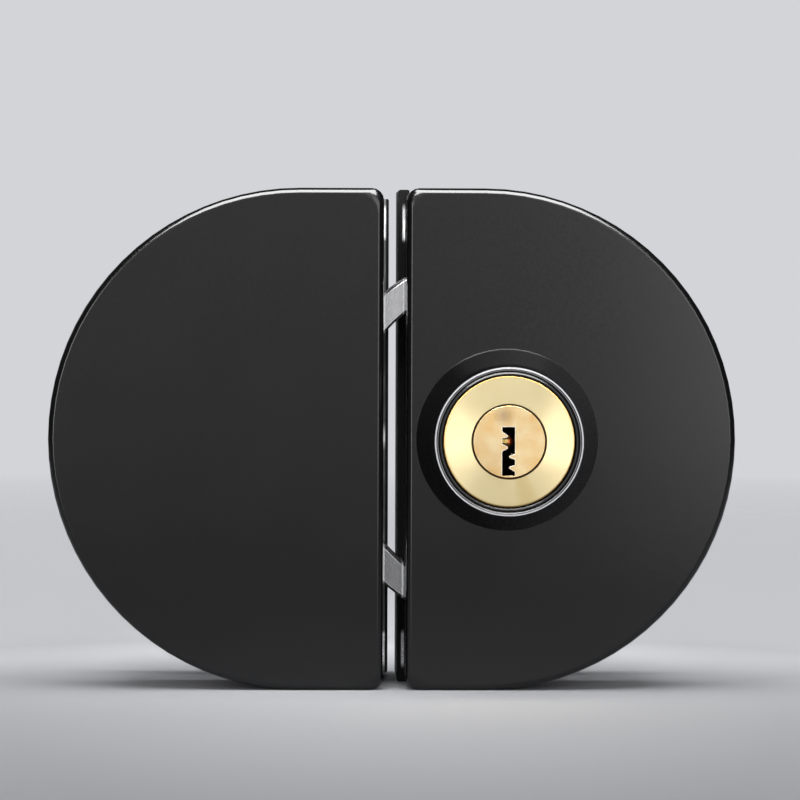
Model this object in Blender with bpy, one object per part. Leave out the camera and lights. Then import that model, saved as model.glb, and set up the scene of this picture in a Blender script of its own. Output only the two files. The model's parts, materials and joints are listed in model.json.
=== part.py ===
"""Two-part lock for a pair of frameless glass doors.

Each half clamps the edge of one pane between a bracket's front and rear plate. The lock half
holds a round key cylinder, which turns a C-shaped ring bolt about its own axis. The ring
leaves the lock half through two slots, runs round the keeper inside the strike half and
comes back, so that it ties the two halves together. Turned half a turn, it lies wholly
inside the lock half.

Frame: metres, +Z up, the covers' fronts look along -Y, and the object stands on Z = 0.
Depths are measured backwards from the covers' front faces. A half's own u runs outwards
from its cover's flat edge, and w upwards from mid height.
"""

import math

import bmesh
import bpy
from mathutils import Matrix, Vector

MM = 0.001

# Clearances
SEAT = 0.2 * MM
FIT = 0.15 * MM
RUN = 0.3 * MM

# Outline of the halves
HALF_HEIGHT = 45 * MM
LOCK_STRAIGHT = 14 * MM
STRIKE_STRAIGHT = 15 * MM
COVER_GAP = 4.14 * MM
COVER_CORNER = 2.2 * MM
FACE_CORNER = 3.8 * MM
FACE_INSET = 1.1 * MM
COVER_DEPTH = 17 * MM
COVER_WALL = 2 * MM
COVER_FRONT = 2 * MM

# Bracket and glass clamp
BRACKET_FRONT = 3 * MM
BRACKET_REAR = 6 * MM
LIP_PROUD = 1.18 * MM
LIP_EASE = 0.3 * MM
WEB_THICKNESS = 2.28 * MM
STRIKE_WEB_SHORT = 1.7 * MM
REAR_ROUND = 1.4 * MM
GLASS = 10 * MM
GASKET = 1 * MM
GASKET_INSET = 1.6 * MM
PRESSURE_PLATE = 1.5 * MM
PRESSURE_PLATE_INSET = 4 * MM
SCREW_TRAVEL = 0.7 * MM

# Key cylinder
KEY_AXIS_INSET = 18 * MM
CYLINDER_RADIUS = 11.7 * MM
CYLINDER_EASE = 0.35 * MM
CYLINDER_RECESS = 0.5 * MM
BEZEL_PROUD = 9 * MM
BEZEL_RIM = 1.4 * MM
BEZEL_EDGE = 0.4 * MM
BEZEL_SKIRT_WALL = 0.8 * MM
BEZEL_SKIRT_LENGTH = 2.8 * MM
COLLAR_HEIGHT = 4.6 * MM
COLLAR_WALL = 1.2 * MM
COLLAR_FLARE = 2.2 * MM
COLLAR_STEP = 0.45 * MM
FLANGE_DEPTH = 6.2 * MM
FLANGE_THICKNESS = 2 * MM
FLANGE_EAR = 5.8 * MM
FLANGE_END = 3 * MM
PLUG_RADIUS = 6.5 * MM
PLUG_EASE = 0.15 * MM
CLIP_GROOVE = 0.8 * MM
CLIP_THICKNESS = 0.7 * MM
CLIP_RIM = 0.4 * MM
CLIP_REACH = 1.7 * MM
CLIP_SWEEP = 300
TANG_WIDTH = 5 * MM
TANG_THICKNESS = 2 * MM

# Keyway. A ward is its lower foot, its tip and its upper foot, as parts of the keyway's height
KEYWAY_ROOF = 3.9 * MM
KEYWAY_FLOOR = 0.44 * MM
KEYWAY_LEFT = -1.25 * MM
KEYWAY_RIGHT = 1.02 * MM
WARD_LEFT_TIP = -0.22 * MM
WARD_RIGHT_TIP = -0.02 * MM
WARD_ROUND = 0.24 * MM
WARD_TURN = 130
LEFT_WARDS = ((0.5, 0.579, 0.65), (0.765, 0.815, 0.905))
RIGHT_WARDS = ((0.08, 0.17, 0.215), (0.33, 0.393, 0.456))

# Pin stacks, which lie across the plug on its left
PIN_FIRST = 3.9 * MM
PIN_LAST = 2.9 * MM
PIN_RADIUS = 1 * MM
PIN_CONE = 0.5 * MM
PIN_POINT = 0.4 * MM
PIN_TIPS = (0.72 * MM, 0.1 * MM, 0.4 * MM, -0.2 * MM, 0.3 * MM)
DRIVER_LENGTH = 1.7 * MM
CHAMBER_STRIP = 0.6 * MM
CHAMBER_STRIP_WIDTH = 3 * MM
SPRING_WIRE = 0.14 * MM
SPRING_COIL = 0.7 * MM
SPRING_TURNS = 3

# Ring bolt
BOLT_EDGE = 6.8 * MM
BOLT_WIDTH = 5.2 * MM
BOLT_FRONT = 5 * MM
BOLT_CHAMFER = 0.4 * MM
BOLT_REAR_GAP = 0.4 * MM
BOLT_START = 90
BOLT_SWEEP = 180
ARM_CLEAR = 2.4 * MM
ARM_THICKNESS = 4 * MM
HUB_RADIUS = 8 * MM
STUD_RADIUS = 4.5 * MM
STUD_HEIGHT = 1.9 * MM
GUIDE_WALL = 1.6 * MM
GUIDE_HEIGHT = 7 * MM
GUIDE_SWEEP = 40
STOP_RADIUS = 1.5 * MM
STOP_INSET = 7 * MM
STOP_HEIGHT = 4 * MM

# Keeper in the strike half
KEEPER_BACK = 6 * MM
KEEPER_END_GAP = 3 * MM
KEEPER_ROUND = 3 * MM
KEEPER_SCREW_EDGE = 4.8 * MM

# Fasteners
SCREW_RADIUS = 1.5 * MM
SCREW_HEAD = 2.8 * MM
SCREW_HEAD_HEIGHT = 1.7 * MM
SCREW_LENGTH = 9 * MM
SCREW_SOCKET = 1 * MM
SCREW_RUNOUT = 1 * MM
BOSS_RADIUS = 2.6 * MM
BOSS_EDGE = 6.4 * MM
BOSS_RIM = 3.9 * MM
LOCK_BOSS_ANGLE = 65
STRIKE_BOSS_ANGLE = 40
SMALL_SCREW_RADIUS = 1.2 * MM
SMALL_SCREW_HEAD = 2.2 * MM
SMALL_SCREW_HEAD_HEIGHT = 1.4 * MM
SMALL_SCREW_LENGTH = 6 * MM
SET_SCREW_RADIUS = 3 * MM
SET_SCREW_SOCKET = 1.75 * MM
SET_SCREW_RECESS = 0.5 * MM
SET_SCREW_SPREAD = 24 * MM
SET_SCREW_NEAR = 13 * MM
SET_SCREW_END = 18 * MM

# Facets
ARC_STEPS = 40
CORNER_STEPS = 4
FILLET_STEPS = 3
PAD_STEPS = 24
ROUND_STEPS = 44
HUB_STEPS = 24
SMALL_STEPS = 10
PIN_STEPS = 10
SPRING_STEPS = 6
WARD_STEPS = 4

# Radii from the key axis, each from the one inside it
BEZEL_BORE = CYLINDER_RADIUS + SEAT
BEZEL_RADIUS = BEZEL_BORE + BEZEL_RIM
BEZEL_SKIRT = BEZEL_BORE + BEZEL_SKIRT_WALL
COLLAR_TOP = BEZEL_SKIRT + SEAT + COLLAR_WALL
COLLAR_FOOT = COLLAR_TOP + COLLAR_FLARE
FLANGE_REACH = CYLINDER_RADIUS + FLANGE_EAR
CLIP_RADIUS = PLUG_RADIUS + CLIP_REACH
BOLT_OUTER = LOCK_STRAIGHT + HALF_HEIGHT - KEY_AXIS_INSET - BOLT_EDGE
BOLT_INNER = BOLT_OUTER - BOLT_WIDTH
STOP_REACH = BOLT_INNER - STOP_INSET
ARM_SWEEP = math.degrees(math.asin((KEY_AXIS_INSET - COVER_WALL - ARM_CLEAR) / BOLT_INNER))

# Depths, from the covers' front faces backwards
BRACKET_FACE = COVER_DEPTH + SEAT
SLOT_FRONT = BRACKET_FACE + BRACKET_FRONT
GASKET_FRONT = SLOT_FRONT + SEAT
GLASS_FRONT = GASKET_FRONT + GASKET
GLASS_REAR = GLASS_FRONT + GLASS
PLATE_FRONT = GLASS_REAR + GASKET + SEAT
PLATE_REAR = PLATE_FRONT + PRESSURE_PLATE
SLOT_REAR = PLATE_REAR + SCREW_TRAVEL
BRACKET_BACK = SLOT_REAR + BRACKET_REAR
STUD_FRONT = BRACKET_FACE - STUD_HEIGHT
BOLT_REAR = BRACKET_FACE - BOLT_REAR_GAP
HUB_FRONT = BOLT_REAR - ARM_THICKNESS
PLUG_REAR = HUB_FRONT - SEAT
GROOVE_REAR = PLUG_REAR - CLIP_RIM
GROOVE_FRONT = GROOVE_REAR - CLIP_THICKNESS - SEAT
CYLINDER_REAR = GROOVE_FRONT - SEAT
CYLINDER_FACE = CYLINDER_RECESS - BEZEL_PROUD
BOLT_SLOT_FRONT = BOLT_FRONT - RUN
SCREW_SEAT = SLOT_FRONT - SEAT
SCREW_TIP = SCREW_SEAT - SCREW_LENGTH

# Pins, evenly spaced between the cylinder's face and its rear
PIN_PITCH = (CYLINDER_REAR - CYLINDER_FACE - PIN_FIRST - PIN_LAST) / (len(PIN_TIPS) - 1)

# The frame's origin is under the middle of the whole object
LOCK_WIDTH = LOCK_STRAIGHT + HALF_HEIGHT
STRIKE_WIDTH = STRIKE_STRAIGHT + HALF_HEIGHT
GAP_X = (STRIKE_WIDTH - LOCK_WIDTH) / 2
FRONT_Y = -(BRACKET_BACK - BEZEL_PROUD) / 2
KEY_X = GAP_X + COVER_GAP / 2 + KEY_AXIS_INSET
KEY_POINT = Vector((KEY_X, FRONT_Y, HALF_HEIGHT))


class Half:
    """One half of the lock: which side of the gap it lies on, and its cover's outline."""

    def __init__(self, name, side, straight, web_short, boss_angle):
        self.name = name
        self.side = side
        self.straight = straight
        self.web_short = web_short
        self.boss_angle = math.radians(boss_angle)
        self.edge_x = GAP_X + side * COVER_GAP / 2
        self.empty = bpy.data.objects.new(name + "_half", None)
        self.empty.location = self.point(0, 0, 0)
        bpy.context.scene.collection.objects.link(self.empty)

    def point(self, u, depth, w):
        return Vector((self.edge_x + self.side * u, FRONT_Y + depth, HALF_HEIGHT + w))

    def ring(self, outline, depth):
        return [self.point(u, depth, w) for u, w in outline]


def arc(centre_u, centre_w, radius, start, sweep, steps):
    """Points on a circle, in degrees, from start over sweep."""
    points = []
    for i in range(steps + 1):
        angle = math.radians(start + sweep * i / steps)
        points.append((centre_u + radius * math.cos(angle), centre_w + radius * math.sin(angle)))
    return points


def d_outline(straight, inset=0.0, corner=COVER_CORNER, flat=None, steps=ARC_STEPS):
    """The D of a half, moved in by inset: a half round end, two corners and a flat edge."""
    radius = HALF_HEIGHT - inset
    flat = inset if flat is None else flat
    corner_u = flat + corner
    corner_w = radius - corner
    return (
        arc(straight, 0, radius, -90, 180, steps)
        + arc(corner_u, corner_w, corner, 90, 90, CORNER_STEPS)
        + arc(corner_u, -corner_w, corner, 180, 90, CORNER_STEPS)
    )


def rounded_box(u0, u1, w0, w1, radius, steps=CORNER_STEPS):
    return (
        arc(u1 - radius, w0 + radius, radius, -90, 90, steps)
        + arc(u1 - radius, w1 - radius, radius, 0, 90, steps)
        + arc(u0 + radius, w1 - radius, radius, 90, 90, steps)
        + arc(u0 + radius, w0 + radius, radius, 180, 90, steps)
    )


def skin(name, rings, closed=False):
    """A solid skinned over rings of points. It is capped at both ends, unless its last ring
    joins its first."""
    bm = bmesh.new()
    rows = [[bm.verts.new(p) for p in ring] for ring in rings]
    count = len(rows[0])
    pairs = list(zip(rows, rows[1:]))
    if closed:
        pairs.append((rows[-1], rows[0]))
    else:
        bm.faces.new(rows[0])
        bm.faces.new(rows[-1])
    for lower, upper in pairs:
        for i in range(count):
            j = (i + 1) % count
            bm.faces.new((lower[i], lower[j], upper[j], upper[i]))
    bmesh.ops.recalc_face_normals(bm, faces=bm.faces)
    mesh = bpy.data.meshes.new(name)
    bm.to_mesh(mesh)
    bm.free()
    obj = bpy.data.objects.new(name, mesh)
    bpy.context.scene.collection.objects.link(obj)
    return obj


def turned(name, profile, centre, axis="Y", steps=ROUND_STEPS, closed=False):
    """A solid turned about an axis through centre. The profile is (radius, distance) pairs."""
    rings = []
    for radius, along in profile:
        ring = []
        for i in range(steps):
            angle = 2 * math.pi * (i + 0.5) / steps
            a, b = radius * math.cos(angle), radius * math.sin(angle)
            offset = Vector((a, along, b)) if axis == "Y" else Vector((along, a, b))
            ring.append(centre + offset)
        rings.append(ring)
    return skin(name, rings, closed)


def prism(name, half, outline, front, rear):
    return skin(name, [half.ring(outline, front), half.ring(outline, rear)])


def key_prism(name, outline, front, rear):
    """A prism whose outline is measured from the key axis: x to the right, z upwards."""
    rings = [[KEY_POINT + Vector((x, depth, z)) for x, z in outline] for depth in (front, rear)]
    return skin(name, rings)


def hexagon(name, centre, across, front, rear):
    profile = [(across / math.cos(math.pi / 6), front), (across / math.cos(math.pi / 6), rear)]
    return turned(name, profile, centre, steps=6)


def combine(obj, tools, operation):
    """Joins the tools to obj, or cuts them out of it, and removes them."""
    for tool in tools:
        boolean = obj.modifiers.new("boolean", "BOOLEAN")
        boolean.operation = operation
        boolean.solver = "EXACT"
        boolean.object = tool
    bpy.context.view_layer.update()
    graph = bpy.context.evaluated_depsgraph_get()
    mesh = bpy.data.meshes.new_from_object(obj.evaluated_get(graph))
    obj.modifiers.clear()
    obj.data = mesh
    mesh.name = obj.name
    for tool in tools:
        bpy.data.objects.remove(tool)
    return obj


def join(obj, *tools):
    return combine(obj, tools, "UNION")


def cut(obj, *tools):
    return combine(obj, tools, "DIFFERENCE")


def material(name, colour, roughness, metallic):
    made = bpy.data.materials.new(name)
    made.use_nodes = True
    shader = made.node_tree.nodes["Principled BSDF"]
    shader.inputs["Base Color"].default_value = (*colour, 1)
    shader.inputs["Roughness"].default_value = roughness
    shader.inputs["Metallic"].default_value = metallic
    made.diffuse_color = (*colour, 1)
    return made


def settle(obj, finish, parent, origin=None):
    """Gives obj its material, puts its origin where it belongs and hangs it on its parent."""
    origin = parent.location.copy() if origin is None else origin
    obj.data.transform(Matrix.Translation(-origin))
    obj.parent = parent
    obj.location = origin - parent.location
    obj.data.materials.clear()
    obj.data.materials.append(finish)
    obj.data.shade_smooth()
    obj.data.set_sharp_from_angle(angle=math.radians(35))
    return obj


def fillet(rise):
    """How far a quarter-round edge has turned in, from 0 to 1, and how far it has risen."""
    angle = math.pi / 2 * rise
    return 1 - math.cos(angle), math.sin(angle)


def cover_shell(half):
    """A dish with a rounded front edge, whose corners open out towards the face."""
    outer = d_outline(half.straight)
    cavity = d_outline(half.straight, COVER_WALL)
    rings = [
        half.ring(cavity, COVER_FRONT),
        half.ring(cavity, COVER_DEPTH),
        half.ring(outer, COVER_DEPTH),
    ]
    for i in range(FILLET_STEPS + 1):
        turned_in, risen = fillet(i / FILLET_STEPS)
        corner = COVER_CORNER + (FACE_CORNER - COVER_CORNER) * turned_in
        outline = d_outline(half.straight, FACE_INSET * turned_in, corner)
        rings.append(half.ring(outline, FACE_INSET * (1 - risen)))
    return skin(half.name + "_cover", rings)


def boss_places(half):
    """Where a cover's four screw bosses stand, as (u, w): two in the corners, two on the arc."""
    corner_w = HALF_HEIGHT - BOSS_EDGE
    reach = HALF_HEIGHT - BOSS_RIM
    side_u = half.straight + reach * math.cos(half.boss_angle)
    side_w = reach * math.sin(half.boss_angle)
    return [(BOSS_EDGE, corner_w), (BOSS_EDGE, -corner_w), (side_u, side_w), (side_u, -side_w)]


def pilot(half, u, w):
    """A screw's tapped hole, drilled past its tip."""
    profile = [(SCREW_RADIUS + FIT, SCREW_TIP - SCREW_RUNOUT), (SCREW_RADIUS + FIT, SLOT_FRONT)]
    return turned("pilot", profile, half.point(u, 0, w), steps=SMALL_STEPS)


def add_bosses(cover, half):
    """Bosses rise from inside the front wall to just short of the cover's rear edge."""
    bosses = [
        turned("boss", [(BOSS_RADIUS, COVER_FRONT / 2), (BOSS_RADIUS, COVER_DEPTH - SEAT)],
               half.point(u, 0, w), steps=SMALL_STEPS)
        for u, w in boss_places(half)
    ]
    join(cover, *bosses)
    cut(cover, *[pilot(half, u, w) for u, w in boss_places(half)])


def bolt_passage():
    """The ring that the bolt sweeps with its clearance, as a cutter that is open behind."""
    inner, outer = BOLT_INNER - RUN, BOLT_OUTER + RUN
    profile = [(inner, BOLT_SLOT_FRONT), (outer, BOLT_SLOT_FRONT), (outer, SLOT_FRONT), (inner, SLOT_FRONT)]
    return turned("passage", profile, KEY_POINT, closed=True)


def cut_bolt_slots(cover):
    cut(cover, bolt_passage())


def ear_points():
    """The centres of the cylinder flange's two ears, above and below the key axis."""
    return [KEY_POINT + Vector((0, 0, z)) for z in (FLANGE_REACH, -FLANGE_REACH)]


def lock_cover(half, finish):
    """The dish with a collar round the cylinder and two bosses for its flange."""
    cover = cover_shell(half)
    add_bosses(cover, half)
    collar = turned("collar", [
        (COLLAR_FOOT, COVER_FRONT / 2),
        (COLLAR_FOOT, -COLLAR_STEP / 2),
        (COLLAR_FOOT - COLLAR_STEP / 2, -COLLAR_STEP),
        (COLLAR_TOP, COLLAR_STEP - COLLAR_HEIGHT),
        (COLLAR_TOP - COLLAR_STEP, -COLLAR_HEIGHT),
    ], KEY_POINT)
    ear_bosses = [
        turned("boss", [(FLANGE_END - FIT, COVER_FRONT / 2), (FLANGE_END - FIT, FLANGE_DEPTH - SEAT)],
               centre, steps=SMALL_STEPS)
        for centre in ear_points()
    ]
    join(cover, collar, *ear_bosses)
    bore = turned("bore", [(BEZEL_BORE, COVER_DEPTH), (BEZEL_BORE, -BEZEL_PROUD)], KEY_POINT)
    counterbore = turned("counterbore", [
        (BEZEL_SKIRT + SEAT, BEZEL_SKIRT_LENGTH - COLLAR_HEIGHT),
        (BEZEL_SKIRT + SEAT, -BEZEL_PROUD),
    ], KEY_POINT)
    hole = SMALL_SCREW_RADIUS + FIT
    pilots = [
        turned("pilot", [(hole, ear_screw_tip() - SEAT), (hole, COVER_DEPTH)], centre, steps=SMALL_STEPS)
        for centre in ear_points()
    ]
    cut(cover, bore)
    cut(cover, counterbore, *pilots)
    cut_bolt_slots(cover)
    return settle(cover, finish, half.empty)


def strike_cover(half, finish):
    cover = cover_shell(half)
    add_bosses(cover, half)
    cut_bolt_slots(cover)
    return settle(cover, finish, half.empty)


def bracket_casting(half):
    """The bracket before drilling: a D block slotted for the glass, with a proud edge web."""
    outer = d_outline(half.straight)
    rings = [half.ring(outer, BRACKET_FACE)]
    for i in range(FILLET_STEPS + 1):
        turned_in, risen = fillet(i / FILLET_STEPS)
        corner = COVER_CORNER + (FACE_CORNER - COVER_CORNER) * turned_in
        outline = d_outline(half.straight, REAR_ROUND * turned_in, corner)
        rings.append(half.ring(outline, BRACKET_BACK - REAR_ROUND * (1 - risen)))
    casting = skin(half.name + "_bracket", rings)
    beyond = half.straight + 2 * HALF_HEIGHT
    web_inner = WEB_THICKNESS - LIP_PROUD
    slot = prism("slot", half, rounded_box(web_inner, beyond, -beyond, beyond, LIP_EASE, 1),
                 SLOT_FRONT, SLOT_REAR)
    web_top = HALF_HEIGHT - half.web_short
    lip_outline = rounded_box(-LIP_PROUD, WEB_THICKNESS - LIP_PROUD - LIP_EASE, -web_top, web_top,
                              LIP_EASE, 2)
    lip = prism("lip", half, lip_outline, BRACKET_FACE + LIP_EASE, BRACKET_BACK - REAR_ROUND)
    cut(casting, slot)
    join(casting, lip)
    return casting


def set_screw_places(half):
    far = half.straight + HALF_HEIGHT - SET_SCREW_END
    return [(SET_SCREW_NEAR, SET_SCREW_SPREAD), (SET_SCREW_NEAR, -SET_SCREW_SPREAD), (far, 0)]


def countersink(half, u, w):
    """A hole through the bracket's front plate, sunk on the glass side."""
    hole = SCREW_RADIUS + FIT
    profile = [
        (hole, BRACKET_FACE - BRACKET_FRONT),
        (hole, SCREW_SEAT - SCREW_HEAD_HEIGHT),
        (SCREW_HEAD + FIT, SCREW_SEAT - SEAT),
        (SCREW_HEAD + FIT, GASKET_FRONT),
    ]
    return turned("countersink", profile, half.point(u, 0, w), steps=SMALL_STEPS)


def set_screw_hole(half, u, w):
    hole = SET_SCREW_RADIUS + FIT
    profile = [(hole, SLOT_REAR - SEAT), (hole, BRACKET_BACK + BRACKET_REAR)]
    return turned("thread", profile, half.point(u, 0, w), steps=SMALL_STEPS)


def drill_bracket(casting, half, places):
    cut(casting, *[countersink(half, u, w) for u, w in places])
    cut(casting, *[set_screw_hole(half, u, w) for u, w in set_screw_places(half)])


def stop_places():
    """Where the arm's two stops stand, from the key axis: one beyond each end of its travel."""
    clear = math.degrees((STOP_RADIUS + RUN) / STOP_REACH)
    locked = BOLT_START + ARM_SWEEP + clear
    unlocked = BOLT_START - BOLT_SWEEP - clear
    return {"stop_pin_locked": locked, "stop_pin_unlocked": unlocked}


def stop_point(angle):
    turn = math.radians(angle)
    return KEY_POINT + Vector((STOP_REACH * math.cos(turn), 0, STOP_REACH * math.sin(turn)))


def lock_bracket(half, finish):
    """The lock half's bracket also carries the bolt's stud and the guide round its outside."""
    casting = bracket_casting(half)
    stud = turned("stud", [(STUD_RADIUS, BRACKET_FACE + BRACKET_FRONT / 2),
                           (STUD_RADIUS, STUD_FRONT)], KEY_POINT, steps=HUB_STEPS)
    near = BOLT_OUTER + RUN
    guide_outline = (
        arc(0, 0, near + GUIDE_WALL, -GUIDE_SWEEP, 2 * GUIDE_SWEEP, SMALL_STEPS)
        + arc(0, 0, near, GUIDE_SWEEP, -2 * GUIDE_SWEEP, SMALL_STEPS)
    )
    guide = key_prism("guide", guide_outline, BRACKET_FACE - GUIDE_HEIGHT, SLOT_FRONT - BRACKET_FRONT / 2)
    join(casting, stud, guide)
    stop_holes = [
        turned("stop hole", [(STOP_RADIUS + FIT, BRACKET_FACE - BRACKET_FRONT),
                             (STOP_RADIUS + FIT, SLOT_FRONT - SEAT)], stop_point(angle), steps=SMALL_STEPS)
        for angle in stop_places().values()
    ]
    cut(casting, *stop_holes)
    drill_bracket(casting, half, boss_places(half))
    return settle(casting, finish, half.empty)


def keeper_limits():
    """How far out the keeper starts and ends, past the bolt's farthest reach, and its half height."""
    near = COVER_WALL + SEAT
    far = BOLT_OUTER - KEY_AXIS_INSET - COVER_GAP + KEEPER_BACK
    half_height = HALF_HEIGHT - BOSS_EDGE - BOSS_RADIUS - KEEPER_END_GAP
    return near, far, half_height


def keeper_screw_places():
    near, far, half_height = keeper_limits()
    u, w = (near + far) / 2, half_height - KEEPER_SCREW_EDGE
    return [(u, w), (u, -w)]


def strike_bracket(half, finish):
    casting = bracket_casting(half)
    drill_bracket(casting, half, boss_places(half) + keeper_screw_places())
    return settle(casting, finish, half.empty)


def strike_keeper(half, finish):
    """A block behind the cover's side wall, grooved for the bolt, which runs round its island."""
    near, far, half_height = keeper_limits()
    outline = rounded_box(near, far, -half_height, half_height, KEEPER_ROUND, 3)
    keeper = prism("strike_keeper", half, outline, COVER_FRONT + SEAT, BRACKET_FACE - SEAT)
    cut(keeper, bolt_passage(), *[pilot(half, u, w) for u, w in keeper_screw_places()])
    return settle(keeper, finish, half.empty)


def bolt_outline(inset):
    """The ring over half a turn with a round nose, moved in by inset, from the key axis."""
    inner, outer = BOLT_INNER + inset, BOLT_OUTER - inset
    middle, half_width = (inner + outer) / 2, (outer - inner) / 2
    end = BOLT_START + BOLT_SWEEP - math.degrees(BOLT_WIDTH / 2 / middle)
    turn = math.radians(end)
    nose = arc(middle * math.cos(turn), middle * math.sin(turn), half_width, end, 180, CORNER_STEPS * 2)
    return (
        arc(0, 0, outer, BOLT_START, end - BOLT_START, ARC_STEPS)[:-1]
        + nose
        + arc(0, 0, inner, end, BOLT_START - end, ARC_STEPS)[1:]
    )


def tang_outline(spare=0.0):
    """The plug's tang, or with spare its slot in the bolt's hub, from the key axis."""
    x, z = TANG_THICKNESS / 2 + spare, TANG_WIDTH / 2 + spare
    return [(-x, -z), (x, -z), (x, z), (-x, z)]


def ring_bolt(finish, pivot):
    """The ring, with chamfered front edges, an arm at its tail and a hub on the key axis."""
    full = bolt_outline(0)
    steps = [(bolt_outline(BOLT_CHAMFER), BOLT_FRONT), (full, BOLT_FRONT + BOLT_CHAMFER), (full, BOLT_REAR)]
    bolt = skin("ring_bolt", [
        [KEY_POINT + Vector((x, depth, z)) for x, z in outline] for outline, depth in steps
    ])
    arm_reach = BOLT_INNER + BOLT_WIDTH / 4
    arm_root = (STUD_RADIUS + HUB_RADIUS) / 2
    arm_outline = (
        arc(0, 0, arm_reach, BOLT_START + 1, ARM_SWEEP - 1, CORNER_STEPS)
        + arc(0, 0, arm_root, BOLT_START + ARM_SWEEP, 1 - ARM_SWEEP, CORNER_STEPS)
    )
    arm = key_prism("arm", arm_outline, HUB_FRONT, BOLT_REAR - SEAT / 2)
    hub = turned("hub", [(HUB_RADIUS, HUB_FRONT + SEAT / 2), (HUB_RADIUS, BOLT_REAR - SEAT)],
                 KEY_POINT, steps=HUB_STEPS)
    join(bolt, arm, hub)
    bore = STUD_RADIUS + FIT
    stud_bore = turned("stud bore", [(bore, STUD_FRONT - SEAT), (bore, SLOT_FRONT)], KEY_POINT,
                       steps=HUB_STEPS)
    tang_slot = key_prism("tang slot", tang_outline(FIT), CYLINDER_REAR, STUD_FRONT)
    cut(bolt, stud_bore, tang_slot)
    return settle(bolt, finish, pivot)


def cylinder_bezel(half, finish):
    """A ring with two rounded ridges, whose skirt drops into the cover's collar."""
    top, land = -BEZEL_PROUD, -COLLAR_HEIGHT - SEAT
    skirt_end = land + BEZEL_SKIRT_LENGTH
    ridge = BEZEL_RADIUS - BEZEL_RIM / 2
    profile = [
        (BEZEL_BORE, skirt_end),
        (BEZEL_SKIRT, skirt_end),
        (BEZEL_SKIRT, land),
        (BEZEL_RADIUS, land),
        (BEZEL_RADIUS, top + BEZEL_EDGE),
        (BEZEL_RADIUS - BEZEL_EDGE / 4, top + BEZEL_EDGE / 4),
        (BEZEL_RADIUS - BEZEL_EDGE, top),
        (ridge, top + BEZEL_EDGE / 4),
        (ridge - BEZEL_EDGE / 4, top + BEZEL_EDGE),
        (BEZEL_BORE + BEZEL_EDGE / 2, top + BEZEL_EDGE / 2),
        (BEZEL_BORE, top + BEZEL_EDGE),
    ]
    bezel = turned("cylinder_bezel", profile, KEY_POINT, closed=True)
    return settle(bezel, finish, half.empty, KEY_POINT)


def pin_depths():
    return [CYLINDER_FACE + PIN_FIRST + PIN_PITCH * i for i in range(len(PIN_TIPS))]


def strip_seat():
    """How far from the key axis the strip over the pin chambers starts."""
    return CYLINDER_RADIUS - CHAMBER_STRIP - SEAT


def strip_outline(spare=0.0):
    """The strip over the pin chambers, or with spare its groove in the cylinder."""
    near = -strip_seat() - FIT + spare
    far = -CYLINDER_RADIUS - FIT if spare else near - CHAMBER_STRIP
    half_wide = CHAMBER_STRIP_WIDTH / 2 + spare
    return [(far, -half_wide), (near, -half_wide), (near, half_wide), (far, half_wide)]


def strip_prism(name, spare=0.0):
    depths = pin_depths()
    front, rear = depths[0] - PIN_PITCH / 2, depths[-1] + PIN_PITCH / 2
    return key_prism(name, strip_outline(spare), front - spare, rear + spare)


def cross_bores(radius, start, end):
    """Cutters across the plug, one for each pin stack, from start to end left of the key axis."""
    return [
        turned("bore", [(radius, -start), (radius, -end)], KEY_POINT + Vector((0, depth, 0)), axis="X",
               steps=PIN_STEPS)
        for depth in pin_depths()
    ]


def cylinder_body(half, finish):
    """A brass barrel with an oval flange inside the cover and five chambers on its left."""
    barrel = turned("cylinder_body", [
        (CYLINDER_RADIUS - CYLINDER_EASE, CYLINDER_FACE),
        (CYLINDER_RADIUS - CYLINDER_EASE / 4, CYLINDER_FACE + CYLINDER_EASE / 4),
        (CYLINDER_RADIUS, CYLINDER_FACE + CYLINDER_EASE),
        (CYLINDER_RADIUS, CYLINDER_REAR),
    ], KEY_POINT)
    flange_outline = (
        arc(0, FLANGE_REACH, FLANGE_END, 0, 180, CORNER_STEPS * 2)
        + arc(0, -FLANGE_REACH, FLANGE_END, 180, 180, CORNER_STEPS * 2)
    )
    flange = key_prism("flange", flange_outline, FLANGE_DEPTH, FLANGE_DEPTH + FLANGE_THICKNESS)
    join(barrel, flange)
    bore = turned("bore", [(PLUG_RADIUS + FIT, CYLINDER_FACE - FIT), (PLUG_RADIUS + FIT, COVER_DEPTH)],
                  KEY_POINT)
    hole = SMALL_SCREW_RADIUS + FIT
    holes = [
        turned("hole", [(hole, COVER_FRONT), (hole, COVER_DEPTH)], centre, steps=SMALL_STEPS)
        for centre in ear_points()
    ]
    cut(barrel, bore, *holes)
    cut(barrel, strip_prism("groove", FIT))
    cut(barrel, *cross_bores(PIN_RADIUS + FIT, CYLINDER_RADIUS + FIT, PLUG_RADIUS / 2))
    return settle(barrel, finish, half.empty, KEY_POINT)


def chamber_strip(half, finish):
    return settle(strip_prism("pin_chamber_strip"), finish, half.empty, KEY_POINT)


def keyway_side(base, tip, wards, bottom, height):
    """One side of the keyway from its bottom up: its base line, broken by wards with round tips."""
    facing = 0 if tip > base else 180
    turn = WARD_TURN if tip > base else -WARD_TURN
    centre = tip - math.copysign(WARD_ROUND, tip - base)
    points = []
    for ward in wards:
        low, middle, high = [bottom + height * part for part in ward]
        points += [(base, low), *arc(centre, middle, WARD_ROUND, facing - turn / 2, turn, WARD_STEPS), (base, high)]
    return points


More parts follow.
